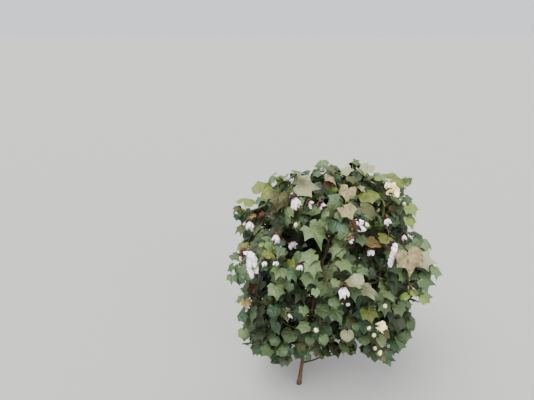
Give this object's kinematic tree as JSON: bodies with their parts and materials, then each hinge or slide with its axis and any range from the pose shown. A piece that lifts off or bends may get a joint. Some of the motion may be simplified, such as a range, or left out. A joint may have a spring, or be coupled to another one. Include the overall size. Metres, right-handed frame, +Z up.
{
  "type": "cotton plant",
  "caption": "Rooted cotton plant: a slender leaning woody stem with upswept side boughs that carry an uneven, column-shaped crown of foliage masses.",
  "frame": {"origin": "centre of the flat cut through the main stem at ground level", "axes": "+Z up from the ground; the stem leans towards +X, the viewer's right; +Y points away from the viewer"},
  "size_m": [0.7804, 0.7624, 1.1228],
  "materials": {
    "stem_bark": "rough, matt brown bark, ridged lengthwise",
    "bough_bark": "matt reddish-brown bark, finely ridged",
    "lower_foliage": "soft satin leaf, dark bluish green",
    "upper_foliage": "soft satin leaf, mid green",
    "young_foliage": "soft satin leaf, yellowish green",
    "cotton_lint": "matt white fluffed fibre with a faint mauve shade in its hollows",
    "dry_burr": "dry, half-matt purple-brown husk, wrinkled",
    "dry_foliage": "matt, crumpled dry leaf, tan to russet",
    "green_fruit": "waxy green skin with dark dots",
    "petal": "soft cream petal"
  },
  "bodies": {
    "root": {"bough_high_back": "bough_bark", "bough_high_back_left": "bough_bark", "bough_high_front": "bough_bark", "bough_high_front_left": "bough_bark", "bough_high_front_right": "bough_bark", "bough_high_right": "bough_bark", "bough_low_back_left": "bough_bark", "bough_low_back_right": "bough_bark", "bough_low_front_left": "bough_bark", "bough_low_right": "bough_bark", "bough_mid_back_left": "bough_bark", "bough_mid_back_right": "bough_bark", "bough_mid_front": "bough_bark", "bough_mid_front_right": "bough_bark", "bough_mid_left": "bough_bark", "bough_mid_right": "bough_bark", "bough_top_back": "bough_bark", "bough_top_front": "bough_bark", "bough_top_left": "bough_bark", "bough_top_right": "bough_bark", "leaves_crown_tip": "young_foliage", "leaves_high_back": "upper_foliage", "leaves_high_back_left": "upper_foliage", "leaves_high_front": "upper_foliage", "leaves_high_front_left": "upper_foliage", "leaves_high_front_right": "upper_foliage", "leaves_high_right": "upper_foliage", "leaves_low_back_left": "lower_foliage", "leaves_low_back_right": "lower_foliage", "leaves_low_front_left": "lower_foliage", "leaves_low_right": "lower_foliage", "leaves_mid_back_left": "lower_foliage", "leaves_mid_back_right": "lower_foliage", "leaves_mid_front": "lower_foliage", "leaves_mid_front_right": "lower_foliage", "leaves_mid_left": "lower_foliage", "leaves_mid_right": "lower_foliage", "leaves_top_back": "young_foliage", "leaves_top_front": "young_foliage", "leaves_top_left": "young_foliage", "leaves_top_right": "young_foliage", "main_stem": "stem_bark"}
  },
  "joints": []
}
